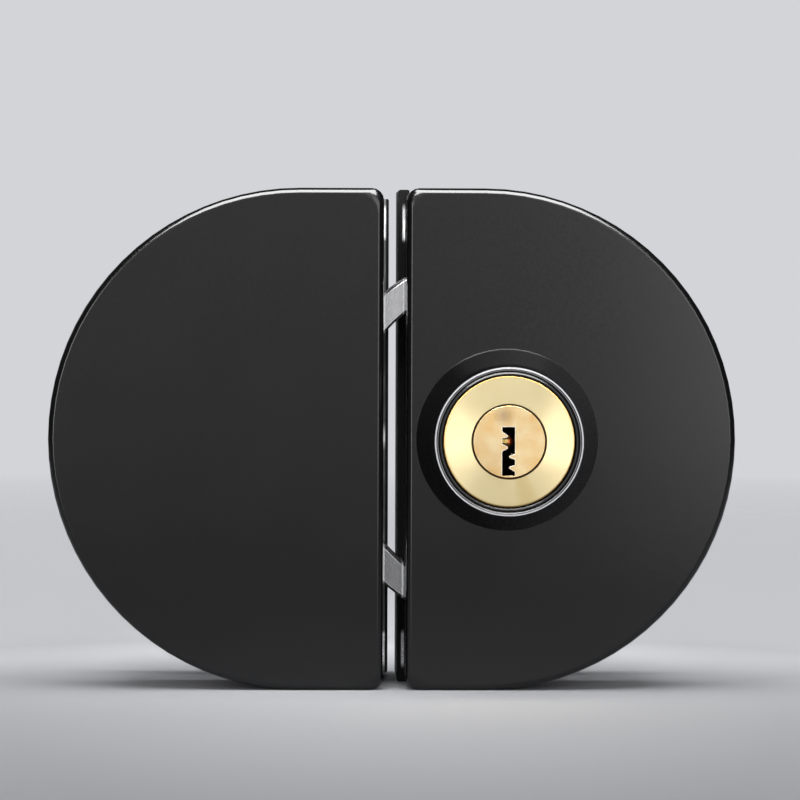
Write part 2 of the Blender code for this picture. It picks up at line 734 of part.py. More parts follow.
def keyway_outline():
    bottom, top = KEYWAY_FLOOR - PLUG_RADIUS, PLUG_RADIUS - KEYWAY_ROOF
    right = keyway_side(KEYWAY_RIGHT, WARD_RIGHT_TIP, RIGHT_WARDS, bottom, top - bottom)
    left = keyway_side(KEYWAY_LEFT, WARD_LEFT_TIP, LEFT_WARDS, bottom, top - bottom)
    return (
        [(KEYWAY_LEFT, bottom), (KEYWAY_RIGHT, bottom)]
        + right
        + [(KEYWAY_RIGHT, top), (KEYWAY_LEFT, top)]
        + left[::-1]
    )


def cylinder_plug(finish, pivot):
    """The plug with its keyway, five pin bores, a clip groove and a tang that drives the bolt."""
    plug = turned("cylinder_plug", [
        (PLUG_RADIUS - PLUG_EASE, CYLINDER_FACE),
        (PLUG_RADIUS, CYLINDER_FACE + PLUG_EASE),
        (PLUG_RADIUS, GROOVE_FRONT),
        (PLUG_RADIUS - CLIP_GROOVE, GROOVE_FRONT),
        (PLUG_RADIUS - CLIP_GROOVE, GROOVE_REAR),
        (PLUG_RADIUS, GROOVE_REAR),
        (PLUG_RADIUS, PLUG_REAR),
    ], KEY_POINT)
    join(plug, key_prism("tang", tang_outline(), CYLINDER_REAR, STUD_FRONT - 2 * SEAT))
    keyway_end = pin_depths()[-1] + PIN_PITCH / 2
    cut(plug, key_prism("keyway", keyway_outline(), CYLINDER_FACE - FIT, keyway_end))
    cut(plug, *cross_bores(PIN_RADIUS + FIT, PLUG_RADIUS + FIT, 0))
    return settle(plug, finish, pivot)


def plug_clip(finish, pivot):
    """A C-clip in the plug's groove, open below."""
    inner = PLUG_RADIUS - CLIP_GROOVE + FIT
    start = 90 - CLIP_SWEEP / 2
    outline = (
        arc(0, 0, CLIP_RADIUS, start, CLIP_SWEEP, HUB_STEPS)
        + arc(0, 0, inner, start + CLIP_SWEEP, -CLIP_SWEEP, HUB_STEPS)
    )
    front = GROOVE_FRONT + SEAT / 2
    clip = key_prism("plug_clip", outline, front, front + CLIP_THICKNESS)
    return settle(clip, finish, pivot)


def key_pins(finish, pivot):
    """Five pins at the shear line, as the right key holds them, with their cones in the keyway."""
    for number, (depth, tip) in enumerate(zip(pin_depths(), PIN_TIPS), 1):
        profile = [
            (PIN_RADIUS - FIT, -PLUG_RADIUS + FIT),
            (PIN_RADIUS, -PLUG_RADIUS + 2 * FIT),
            (PIN_RADIUS, tip - PIN_CONE),
            (PIN_POINT, tip),
        ]
        pin = turned(f"key_pin_{number}", profile, KEY_POINT + Vector((0, depth, 0)), axis="X",
                     steps=PIN_STEPS)
        settle(pin, finish, pivot)


def driver_pins(half, finish):
    for number, depth in enumerate(pin_depths(), 1):
        start = PLUG_RADIUS + 2 * FIT
        profile = [
            (PIN_RADIUS, -start - DRIVER_LENGTH),
            (PIN_RADIUS, -start - FIT),
            (PIN_RADIUS - FIT, -start),
        ]
        pin = turned(f"driver_pin_{number}", profile, KEY_POINT + Vector((0, depth, 0)), axis="X",
                     steps=PIN_STEPS)
        settle(pin, finish, half.empty, KEY_POINT + Vector((-start, depth, 0)))


def pin_springs(half, finish):
    """Coil springs between the driver pins and the strip over their chambers."""
    low = PLUG_RADIUS + 2 * FIT + DRIVER_LENGTH + SEAT + SPRING_WIRE
    high = strip_seat() + FIT - SEAT - SPRING_WIRE
    steps, sides = SPRING_STEPS * SPRING_TURNS, 4
    for number, depth in enumerate(pin_depths(), 1):
        centre = KEY_POINT + Vector((0, depth, 0))
        rings = []
        for i in range(steps + 1):
            angle = 2 * math.pi * SPRING_TURNS * i / steps
            along = low + (high - low) * i / steps
            outward = Vector((0, math.cos(angle), math.sin(angle)))
            middle = centre + outward * SPRING_COIL - Vector((along, 0, 0))
            ring = []
            for k in range(sides):
                around = 2 * math.pi * k / sides
                ring.append(middle + SPRING_WIRE * (outward * math.cos(around)
                                                    + Vector((math.sin(around), 0, 0))))
            rings.append(ring)
        spring = skin(f"pin_spring_{number}", rings)
        settle(spring, finish, half.empty, centre - Vector((low, 0, 0)))


def countersunk_screw(name, half, u, w, finish):
    """A socket screw driven forwards from the glass side, its head flush in the bracket."""
    neck = SCREW_SEAT - SCREW_HEAD_HEIGHT
    centre = half.point(u, 0, w)
    screw = turned(name, [
        (SCREW_RADIUS / 2, SCREW_TIP),
        (SCREW_RADIUS, SCREW_TIP + SCREW_RADIUS / 2),
        (SCREW_RADIUS, neck),
        (SCREW_HEAD, SCREW_SEAT - SEAT),
        (SCREW_HEAD, SCREW_SEAT),
    ], centre, steps=SMALL_STEPS)
    cut(screw, hexagon("socket", centre, SCREW_SOCKET, neck, GLASS_FRONT))
    return settle(screw, finish, half.empty, half.point(u, SCREW_SEAT, w))


def set_screw(name, half, u, w, finish):
    """A socket set screw in the rear plate, its point on the pressure plate."""
    rear = BRACKET_BACK - SET_SCREW_RECESS
    tip = PLATE_REAR + SEAT
    centre = half.point(u, 0, w)
    screw = turned(name, [
        (SET_SCREW_RADIUS / 2, tip),
        (SET_SCREW_RADIUS, tip + SET_SCREW_RADIUS / 2),
        (SET_SCREW_RADIUS, rear - SEAT),
        (SET_SCREW_RADIUS - SEAT, rear),
    ], centre, steps=SMALL_STEPS)
    cut(screw, hexagon("socket", centre, SET_SCREW_SOCKET, (tip + rear) / 2, BRACKET_BACK))
    return settle(screw, finish, half.empty, half.point(u, rear, w))


def ear_screw_seat():
    return FLANGE_DEPTH + FLANGE_THICKNESS + SEAT


def ear_screw_tip():
    return ear_screw_seat() - SMALL_SCREW_LENGTH


def cylinder_screw(name, half, centre, finish):
    """A cheese-head screw that holds the cylinder's flange on the cover's boss."""
    seat, tip = ear_screw_seat(), ear_screw_tip()
    top = seat + SMALL_SCREW_HEAD_HEIGHT
    screw = turned(name, [
        (SMALL_SCREW_RADIUS / 2, tip),
        (SMALL_SCREW_RADIUS, tip + SMALL_SCREW_RADIUS / 2),
        (SMALL_SCREW_RADIUS, seat),
        (SMALL_SCREW_HEAD, seat),
        (SMALL_SCREW_HEAD, top),
    ], centre, steps=SMALL_STEPS)
    cut(screw, hexagon("socket", centre, SCREW_SOCKET, (seat + top) / 2, COVER_DEPTH))
    return settle(screw, finish, half.empty, centre + Vector((0, seat, 0)))


def stop_pins(half, finish):
    for name, angle in stop_places().items():
        centre = stop_point(angle)
        front = BRACKET_FACE - STOP_HEIGHT
        pin = turned(name, [
            (STOP_RADIUS - SEAT, front),
            (STOP_RADIUS, front + SEAT),
            (STOP_RADIUS, SLOT_FRONT - 2 * SEAT),
        ], centre, steps=SMALL_STEPS)
        settle(pin, finish, half.empty, centre)


def glass_pads(half, rubber, steel):
    """The gaskets round the glass and the plate that the set screws press."""
    edge = WEB_THICKNESS - LIP_PROUD + SEAT
    flat = edge + GASKET + SEAT
    wide = d_outline(half.straight, GASKET_INSET, flat=flat, steps=PAD_STEPS)
    narrow = d_outline(half.straight, PRESSURE_PLATE_INSET, flat=flat, steps=PAD_STEPS)
    front = prism(half.name + "_front_gasket", half, wide, GASKET_FRONT, GLASS_FRONT)
    rear = prism(half.name + "_rear_gasket", half, narrow, GLASS_REAR, GLASS_REAR + GASKET)
    plate = prism(half.name + "_pressure_plate", half, narrow, PLATE_FRONT, PLATE_REAR)
    web_top = HALF_HEIGHT - half.web_short - GASKET_INSET
    strip = prism(half.name + "_edge_gasket", half,
                  rounded_box(edge, edge + GASKET, -web_top, web_top, GASKET / 4, 1),
                  GLASS_FRONT + SEAT, GLASS_REAR - SEAT)
    settle(plate, steel, half.empty)
    for pad in (front, rear, strip):
        settle(pad, rubber, half.empty)


def half_fasteners(half, black_steel):
    for number, (u, w) in enumerate(boss_places(half), 1):
        countersunk_screw(f"{half.name}_cover_screw_{number}", half, u, w, black_steel)
    for number, (u, w) in enumerate(set_screw_places(half), 1):
        set_screw(f"{half.name}_set_screw_{number}", half, u, w, black_steel)


def clear_scene():
    for obj in list(bpy.data.objects):
        bpy.data.objects.remove(obj)


def build():
    clear_scene()
    black = material("satin_black", (0.025, 0.025, 0.027), 0.35, 0.0)
    gloss = material("gloss_black", (0.02, 0.02, 0.02), 0.12, 0.0)
    brass = material("brass", (0.83, 0.68, 0.38), 0.28, 1.0)
    plug_brass = material("plug_brass", (0.8, 0.62, 0.4), 0.32, 1.0)
    steel = material("brushed_steel", (0.62, 0.62, 0.62), 0.3, 1.0)
    black_steel = material("black_steel", (0.06, 0.06, 0.065), 0.4, 1.0)
    zinc = material("zinc", (0.5, 0.5, 0.51), 0.5, 1.0)
    rubber = material("rubber", (0.04, 0.04, 0.04), 0.8, 0.0)

    lock = Half("lock", 1, LOCK_STRAIGHT, 0, LOCK_BOSS_ANGLE)
    strike = Half("strike", -1, STRIKE_STRAIGHT, STRIKE_WEB_SHORT, STRIKE_BOSS_ANGLE)
    pivots = {}
    for name in ("plug_pivot", "bolt_pivot"):
        pivots[name] = bpy.data.objects.new(name, None)
        pivots[name].location = KEY_POINT
        bpy.context.scene.collection.objects.link(pivots[name])

    lock_cover(lock, black)
    strike_cover(strike, black)
    lock_bracket(lock, black)
    strike_bracket(strike, black)
    strike_keeper(strike, zinc)
    ring_bolt(steel, pivots["bolt_pivot"])
    stop_pins(lock, steel)

    cylinder_bezel(lock, gloss)
    cylinder_body(lock, brass)
    chamber_strip(lock, brass)
    cylinder_plug(plug_brass, pivots["plug_pivot"])
    plug_clip(steel, pivots["plug_pivot"])
    key_pins(brass, pivots["plug_pivot"])
    driver_pins(lock, brass)
    pin_springs(lock, steel)
    for number, centre in enumerate(ear_points(), 1):
        cylinder_screw(f"cylinder_screw_{number}", lock, centre, steel)

    for half in (lock, strike):
        glass_pads(half, rubber, steel)
        half_fasteners(half, black_steel)
    for number, (u, w) in enumerate(keeper_screw_places(), 1):
        countersunk_screw(f"keeper_screw_{number}", strike, u, w, black_steel)


build()
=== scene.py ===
"""Looks of the sliding glass door lock: materials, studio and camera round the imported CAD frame."""

import json
import math

import bpy
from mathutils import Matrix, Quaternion, Vector

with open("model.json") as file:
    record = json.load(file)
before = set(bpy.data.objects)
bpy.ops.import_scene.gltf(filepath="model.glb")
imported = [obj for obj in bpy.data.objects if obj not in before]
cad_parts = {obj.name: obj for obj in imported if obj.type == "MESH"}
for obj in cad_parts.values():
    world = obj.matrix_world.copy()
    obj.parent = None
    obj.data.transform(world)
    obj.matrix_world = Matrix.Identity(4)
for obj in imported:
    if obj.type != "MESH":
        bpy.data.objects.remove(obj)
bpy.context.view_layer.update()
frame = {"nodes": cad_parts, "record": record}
NODES = frame["nodes"]

MM = 0.001
UM = 1e-6

# Places on the CAD part, in metres: the key's axis at the covers' front, the plug's face, the tarnish on it
KEY = Vector((0.02057, -0.0159, 0.045))
PLUG_FACE = KEY.y - 8.5 * MM
TARNISH_SPOT = KEY + Vector((-0.9, -8.5, 4.6)) * MM

# Distances from the key's axis: the start and end of a change (a painted highlight round the keyway,
# painted shade on the brass lip, the collar's finish and painted light), then lines round the axis (painted
# shade in the plug's groove, painted highlights on the bezel)
KEYWAY_REACH = (5.9 * MM, 6.1 * MM)
BRASS_LIP = (11.3 * MM, 11.5 * MM)
COLLAR_REACH = (16.6 * MM, 17 * MM)
PLUG_GROOVE = 6.58 * MM
BEZEL_OUTER_EDGE = 13.07 * MM
BEZEL_CREST = 12.7 * MM
BEZEL_INNER_SLOPE = 12.12 * MM

# Painted glints in the gap, drawn as bright lines, by their X: two on the brackets' webs, two on the bars
# where they meet the slots
STRIKE_WEB_GLINT = -1.2 * MM
LOCK_WEB_GLINT = 2.38 * MM
STRIKE_SLOT_GLINT = -1.35 * MM
LOCK_SLOT_GLINT = 2.05 * MM

# The webs' painted glints at their ends, by their distance above or below the key's axis, and the Y at
# which all the painted glints stop
WEB_END_START = (35.3 * MM, 36.3 * MM)
WEB_END_STOP = (41.4 * MM, 42.6 * MM)
WEB_GLINT_STOP = (2 * MM, 2.4 * MM)

# Smoothing and edges
WELD_DISTANCE = 2 * UM
SHARP_ANGLE = math.radians(36)
BEVEL_ANGLE = math.radians(40)
FLAT_ANGLE = math.radians(0.3)

# Camera
CAMERA_PLACE = (-0.0166, -0.816, 0.075)
CAMERA_TARGET = (0.00137, -0.0159, 0.0521)
CAMERA_LENS = 201.4
CAMERA_ROLL = 0.2

# Studio, colours linear
BACKGROUND = (0.651, 0.658, 0.687)
FLOOR_PALE = (0.74, 0.75, 0.775)
# The floor's front colour is painted shade.
FLOOR_FRONT_SHADE = (0.2, 0.202, 0.208)
FLOOR_REACH = 0.9
FLOOR_FADE = (0.12, 0.85)
BACKDROP_EDGE = (0.9, 0.97)
ROOM_IN_GLOSS = (0.025, 0.025, 0.026)
ROOM_FILL = (0.35, 0.35, 0.36)
LAMP_TARGET = (0, 0, 0.045)


# Node helpers

def new_material(name):
    material = bpy.data.materials.new(name)
    material.use_nodes = True
    tree = material.node_tree
    return material, tree, tree.nodes["Principled BSDF"]


def node(tree, kind, **values):
    made = tree.nodes.new(kind)
    for key, value in values.items():
        setattr(made, key, value)
    return made


def feed(tree, source, target):
    """Links an output socket to an input socket."""
    tree.links.new(source, target)


def maths(tree, operation, first, second=None):
    """A sum on one or two values, each a number or an output socket."""
    made = node(tree, "ShaderNodeMath", operation=operation)
    for socket, value in zip(made.inputs, (first, second)):
        if value is None:
            continue
        if isinstance(value, (int, float)):
            socket.default_value = value
        else:
            feed(tree, value, socket)
    return made.outputs["Value"]


def product(tree, first, second):
    return maths(tree, "MULTIPLY", first, second)


def total(tree, first, second):
    return maths(tree, "ADD", first, second)


def larger(tree, first, second):
    return maths(tree, "MAXIMUM", first, second)


def distance_to(tree, value, middle):
    return maths(tree, "ABSOLUTE", maths(tree, "SUBTRACT", value, middle))


def vector_maths(tree, operation, *vectors):
    """A vector operation on fixed vectors or output sockets."""
    made = node(tree, "ShaderNodeVectorMath", operation=operation)
    for socket, vector in zip(made.inputs, vectors):
        if isinstance(vector, (tuple, Vector)):
            socket.default_value = vector
        else:
            feed(tree, vector, socket)
    gives_number = operation in ("LENGTH", "DISTANCE", "DOT_PRODUCT")
    return made.outputs["Value" if gives_number else "Vector"]


def spread(tree, value, low, high, start=0.35, end=0.65):
    """Maps a value from start to end onto low to high. The default span suits a noise value."""
    made = node(tree, "ShaderNodeMapRange")
    made.inputs["From Min"].default_value = start
    made.inputs["From Max"].default_value = end
    made.inputs["To Min"].default_value = low
    made.inputs["To Max"].default_value = high
    feed(tree, value, made.inputs["Value"])
    return made.outputs["Result"]


def rise(tree, value, start, end):
    """0 up to start, 1 from end on."""
    return spread(tree, value, 0, 1, start, end)


def fall(tree, value, start, end):
    """1 up to start, 0 from end on."""
    return spread(tree, value, 1, 0, start, end)


def blend_colours(tree, factor, first, second):
    """The first colour at 0 and the second at 1."""
    made = node(tree, "ShaderNodeMix", data_type="RGBA")
    for socket, colour in ((made.inputs["A"], first), (made.inputs["B"], second)):
        if isinstance(colour, tuple):
            socket.default_value = (*colour, 1)
        else:
            feed(tree, colour, socket)
    feed(tree, factor, made.inputs["Factor"])
    return made.outputs["Result"]


def mottle(tree, pattern, first, second):
    """Two colours mingled by a noise value."""
    return blend_colours(tree, spread(tree, pattern, 0, 1), first, second)


def own_place(tree):
    """Coordinates in metres that stick to the piece."""
    return node(tree, "ShaderNodeTexCoord").outputs["Object"]


def stretched(tree, scale):
    """The piece's own coordinates, each axis scaled."""
    mapping = node(tree, "ShaderNodeMapping")
    mapping.inputs["Scale"].default_value = scale
    feed(tree, own_place(tree), mapping.inputs["Vector"])
    return mapping.outputs["Vector"]


def axes_of(tree, place):
    """The three coordinates apart."""
    split = node(tree, "ShaderNodeSeparateXYZ")
    feed(tree, place, split.inputs["Vector"])
    return split.outputs["X"], split.outputs["Y"], split.outputs["Z"]


def from_axis(tree):
    """The distance from the key's axis and the direction round it, both seen from the front."""
    offset = vector_maths(tree, "SUBTRACT", own_place(tree), KEY)
    flat = vector_maths(tree, "MULTIPLY", offset, (1, 0, 1))
    return vector_maths(tree, "LENGTH", flat), vector_maths(tree, "CROSS_PRODUCT", flat, (0, 1, 0))


def noise(tree, place, size, detail):
    """Noise whose features are about size metres across."""
    made = node(tree, "ShaderNodeTexNoise")
    made.inputs["Scale"].default_value = 1 / size
    made.inputs["Detail"].default_value = detail
    made.inputs["Roughness"].default_value = 0.5
    feed(tree, place, made.inputs["Vector"])
    return made.outputs["Fac"]


def bump(tree, height, depth, below=None):
    """A bump whose full height is depth metres, on top of another bump where one is given."""
    made = node(tree, "ShaderNodeBump")
    made.inputs["Strength"].default_value = 1.0
    made.inputs["Distance"].default_value = depth
    feed(tree, height, made.inputs["Height"])
    if below is not None:
        feed(tree, below, made.inputs["Normal"])
    return made.outputs["Normal"]


def edge_mask(tree, width):
    """Near 1 along sharp edges and 0 elsewhere."""
    rounded = node(tree, "ShaderNodeBevel", samples=4)
    rounded.inputs["Radius"].default_value = width
    plain = node(tree, "ShaderNodeNewGeometry")
    agreement = vector_maths(tree, "DOT_PRODUCT", rounded.outputs["Normal"], plain.outputs["Normal"])
    return fall(tree, agreement, 0.9, 0.995)


def line_mask(tree, value, middle, half_width, level=1.0):
    """That level where the value is near the middle, fading to 0 just beyond half_width."""
    return spread(tree, distance_to(tree, value, middle), level, 0, 0.6 * half_width, 1.2 * half_width)


def finish(tree, shader, colour, roughness, normal):
    """Feeds the shader what every finish here varies over its surface."""
    feed(tree, colour, shader.inputs["Base Color"])
    feed(tree, roughness, shader.inputs["Roughness"])
    feed(tree, normal, shader.inputs["Normal"])


# Black finishes

def satin_black():
    """The covers' powder coat: faint orange peel and cloudy sheen. Along its edges the coat is thin and
    carries a painted highlight.

    The side walls are a little rougher. The collar is matt, and painted light greys it towards the right.
    """
    material, tree, shader = new_material("satin_black_coat")
    place = own_place(tree)
    cloud = noise(tree, place, 14 * MM, 2)
    peel = noise(tree, place, 0.55 * MM, 2)
    grain = noise(tree, place, 0.16 * MM, 1)
    across, depth, _ = axes_of(tree, place)
    distance, _ = from_axis(tree)

    proud = fall(tree, depth, KEY.y - 0.4 * MM, KEY.y - 0.1 * MM)
    collar = product(tree, fall(tree, distance, *COLLAR_REACH), proud)
    painted_light_rightwards = rise(tree, across, KEY.x - 6 * MM, KEY.x + 14 * MM)
    walls = spread(tree, depth, 0, 0.12, KEY.y + 1.3 * MM, KEY.y + 2.6 * MM)
    wear_and_glint = product(tree, edge_mask(tree, 0.25 * MM), spread(tree, peel, 0.1, 0.9))

    tone = mottle(tree, cloud, (0.005, 0.005, 0.0054), (0.0065, 0.0065, 0.007))
    # Lighter along sharp edges: the coat thin there, and a painted highlight.
    tone = blend_colours(tree, wear_and_glint, tone, (0.035, 0.035, 0.037))
    # Painted light: the collar's tone greys towards its right, as if lit from that side.
    collar_painted_light = blend_colours(tree, painted_light_rightwards, (0.008, 0.008, 0.0085), (0.03, 0.03, 0.031))
    tone = blend_colours(tree, collar, tone, collar_painted_light)
    rough = total(tree, spread(tree, peel, 0.15, 0.19), product(tree, collar, 0.1))
    peeled = bump(tree, peel, 1.2 * UM)
    finish(tree, shader, tone, total(tree, rough, walls), bump(tree, grain, 0.6 * UM, peeled))
    feed(tree, spread(tree, collar, 0.5, 0.02, 0, 1), shader.inputs["Specular IOR Level"])
    shader.inputs["IOR"].default_value = 1.46
    return material


def web_painted_glints(tree, across, depth, up):
    """Painted glints along the brackets' webs, drawn as bare bright lines: at both ends, and on the
    strike's also in the middle.

    The strike's line goes on between them, fainter.
    """
    height = distance_to(tree, up, KEY.z)
    ends = product(tree, rise(tree, height, *WEB_END_START), fall(tree, height, *WEB_END_STOP))
    middle = spread(tree, height, 1, 0.28, 0.8 * MM, 2.6 * MM)
    strike = product(tree, line_mask(tree, across, STRIKE_WEB_GLINT, 0.32 * MM), larger(tree, ends, middle))
    lock = product(tree, line_mask(tree, across, LOCK_WEB_GLINT, 0.3 * MM), ends)
    glint_breaks = noise(tree, stretched(tree, (1, 1, 0.25)), 1.2 * MM, 3)
    lines = product(tree, larger(tree, strike, lock), spread(tree, glint_breaks, 0.6, 1))
    return product(tree, lines, fall(tree, depth, *WEB_GLINT_STOP))


def cast_black():
    """The brackets: rough black cast alloy with painted shade that darkens it in the gap, and painted
    glints on its webs that look like bare metal.
    """
    material, tree, shader = new_material("cast_black")
    place = own_place(tree)
    grain = noise(tree, place, 0.3 * MM, 3)
    across, depth, up = axes_of(tree, place)
    wear_and_glint = web_painted_glints(tree, across, depth, up)
    clear_of_gap_shade = rise(tree, maths(tree, "ABSOLUTE", across), 3.5 * MM, 5.5 * MM)

    tone = mottle(tree, grain, (0.003, 0.003, 0.0032), (0.006, 0.006, 0.0064))
    # Painted shade: near the gap the alloy is darker; from 5.5 mm out it takes this lighter tone.
    tone = blend_colours(tree, clear_of_gap_shade, tone, (0.014, 0.014, 0.0145))
    # Painted glints: bright bare-metal lines on the webs.
    tone = blend_colours(tree, wear_and_glint, tone, (0.95, 0.95, 0.97))
    glint_polish = product(tree, wear_and_glint, spread(tree, up, 0.26, 0, 20 * MM, 60 * MM))
    rough = maths(tree, "SUBTRACT", spread(tree, grain, 0.4, 0.55), glint_polish)
    finish(tree, shader, tone, rough, bump(tree, grain, 3 * UM))
    feed(tree, wear_and_glint, shader.inputs["Metallic"])
    feed(tree, spread(tree, clear_of_gap_shade, 0.12, 0.5, 0, 1), shader.inputs["Specular IOR Level"])
    return material


def gloss_black():
    """Black enamel on the bezel, with painted highlights: bright on its outer edge and fainter on a crest
    and a slope inside it.
    """
    material, tree, shader = new_material("gloss_black_enamel")
    speck = noise(tree, own_place(tree), 0.4 * MM, 2)
    distance, _ = from_axis(tree)
    outer = line_mask(tree, distance, BEZEL_OUTER_EDGE, 0.15 * MM)
    crest = line_mask(tree, distance, BEZEL_CREST, 0.07 * MM, 0.35)
    inner = line_mask(tree, distance, BEZEL_INNER_SLOPE, 0.16 * MM, 0.06)
    bright = larger(tree, larger(tree, outer, crest), inner)

    # Painted highlights: pale rings on the bezel's outer edge, crest and inner slope.
    tone = blend_colours(tree, bright, (0.006, 0.006, 0.007), (0.78, 0.78, 0.8))
    finish(tree, shader, tone, spread(tree, speck, 0.16, 0.22), bump(tree, speck, 0.8 * UM))
    feed(tree, spread(tree, bright, 0.28, 0.1, 0, 1), shader.inputs["Specular IOR Level"])
    return material


def black_steel():
    """Black-oxide screws, scuffed to bare steel along the socket's edges."""
    material, tree, shader = new_material("black_oxide")
    grain = noise(tree, own_place(tree), 0.3 * MM, 3)
    wear_and_glint = product(tree, edge_mask(tree, 0.15 * MM), spread(tree, grain, 0.2, 1))
    tone = mottle(tree, grain, (0.035, 0.035, 0.038), (0.06, 0.06, 0.065))
    tone = blend_colours(tree, wear_and_glint, tone, (0.3, 0.3, 0.31))
    finish(tree, shader, tone, spread(tree, grain, 0.34, 0.5), bump(tree, grain, 3 * UM))
    shader.inputs["Metallic"].default_value = 0.85
    return material


def rubber():
    """Moulded black rubber: matt, with a fine moulded grain and dusty patches."""
    material, tree, shader = new_material("moulded_rubber")
    place = own_place(tree)
    dust = noise(tree, place, 3 * MM, 4)
    grain = noise(tree, place, 0.2 * MM, 2)
    tone = mottle(tree, dust, (0.016, 0.016, 0.016), (0.03, 0.03, 0.029))
    finish(tree, shader, tone, spread(tree, grain, 0.68, 0.82), bump(tree, grain, 15 * UM))
    return material


# Brass

def lathe_rings(tree, distance, pitch):
    """Concentric tool marks: a sine over the distance from the axis."""
    return maths(tree, "SINE", product(tree, distance, 2 * math.pi / pitch))


def painted_dark_wedge(tree, clock, reach):
    """Painted shade: a dark wedge across the lathe marks, 0.55 at that angle in degrees, 0 beyond its
    reach.
    """
    _, around = from_axis(tree)
    unit = vector_maths(tree, "NORMALIZE", around)
    angle = math.radians(clock)
    direction = Vector((math.cos(angle), 0, math.sin(angle))).cross(Vector((0, 1, 0)))
    along = vector_maths(tree, "DOT_PRODUCT", unit, direction)
    return spread(tree, along, 0, 0.55, math.cos(math.radians(reach)), 1)


def add_groove_shade(tree, tone, distance):
    """Painted shade in the groove round the plug."""
    off = distance_to(tree, distance, PLUG_GROOVE)
    return blend_colours(tree, fall(tree, off, 0.1 * MM, 0.2 * MM), tone, (0.07, 0.04, 0.012))


def turned_brass():
    """The cylinder's face: turned in fine rings, with painted shade on its rounded lip, a painted dark
    wedge across the rings and painted shade in the groove by the plug.
    """
    material, tree, shader = new_material("turned_brass")
    distance, around = from_axis(tree)
    cloud = noise(tree, own_place(tree), 5 * MM, 2)
    wavering = total(tree, distance, product(tree, cloud, 0.1 * MM))

    tone = mottle(tree, cloud, (0.605, 0.505, 0.287), (0.625, 0.53, 0.31))
    # Painted shade on the rounded lip.
    tone = blend_colours(tree, rise(tree, distance, *BRASS_LIP), tone, (0.42, 0.26, 0.09))
    # Painted shade: a dark wedge at 288 degrees round the axis.
    tone = blend_colours(tree, painted_dark_wedge(tree, 288, 12), tone, (0.5, 0.38, 0.16))
    tone = add_groove_shade(tree, tone, distance)
    rings = bump(tree, lathe_rings(tree, wavering, 0.12 * MM), 0.6 * UM)
    finish(tree, shader, tone, spread(tree, cloud, 0.335, 0.355), rings)
    shader.inputs["Metallic"].default_value = 1
    shader.inputs["Anisotropic"].default_value = 0.66
    feed(tree, around, shader.inputs["Tangent"])
    return material


def milled_brass():
    """The plug: fine grain, tarnish above the keyway, a painted highlight round the keyway's mouth, painted
    shade deep in it and in the groove round the plug.
    """
    material, tree, shader = new_material("milled_brass")
    place = own_place(tree)
    distance, around = from_axis(tree)
    cloud = noise(tree, place, 4 * MM, 2)
    grain = noise(tree, place, 0.25 * MM, 2)
    across, depth, _ = axes_of(tree, place)

    tarnish = spread(tree, vector_maths(tree, "DISTANCE", place, TARNISH_SPOT), 0.55, 0, 0.2 * MM, 2.2 * MM)
    edges = rise(tree, edge_mask(tree, 0.32 * MM), 0.05, 0.4)
    keyway = fall(tree, distance_to(tree, across, KEY.x), 2 * MM, 2.4 * MM)
    lip = product(tree, product(tree, edges, keyway), fall(tree, distance, *KEYWAY_REACH))
    inside = rise(tree, depth, PLUG_FACE + 0.1 * MM, PLUG_FACE + 0.7 * MM)

    tone = mottle(tree, cloud, (0.79, 0.52, 0.225), (0.85, 0.67, 0.39))
    tone = blend_colours(tree, tarnish, tone, (0.3, 0.24, 0.17))
    tone = add_groove_shade(tree, tone, distance)
    # Painted highlight: a pale rim round the keyway's mouth.
    tone = blend_colours(tree, lip, tone, (1, 0.96, 0.86))
    # Painted shade: near black deeper than 0.1 to 0.7 mm behind the plug's face, as down the keyway.
    tone = blend_colours(tree, inside, tone, (0.006, 0.005, 0.004))
    finish(tree, shader, tone, spread(tree, grain, 0.235, 0.265), bump(tree, grain, 0.4 * UM))
    shader.inputs["Metallic"].default_value = 1
    shader.inputs["Anisotropic"].default_value = 0.2
    feed(tree, around, shader.inputs["Tangent"])
    return material


def pin_brass():
    """The key pins: bright, smoothed by the key, and orange-red on their side towards +X."""
    material, tree, shader = new_material("pin_brass")
    place = own_place(tree)
    grain = noise(tree, place, 0.25 * MM, 2)
    across, _, _ = axes_of(tree, place)
    gold = mottle(tree, grain, (1, 0.6, 0.14), (1, 0.85, 0.32))
    away = rise(tree, across, KEY.x - 0.35 * MM, KEY.x + 0.25 * MM)
    tone = blend_colours(tree, away, gold, (1, 0.16, 0.03))
    finish(tree, shader, tone, spread(tree, grain, 0.2, 0.32), bump(tree, grain, 4 * UM))
    shader.inputs["Metallic"].default_value = 0.6
    return material


# Steel and zinc

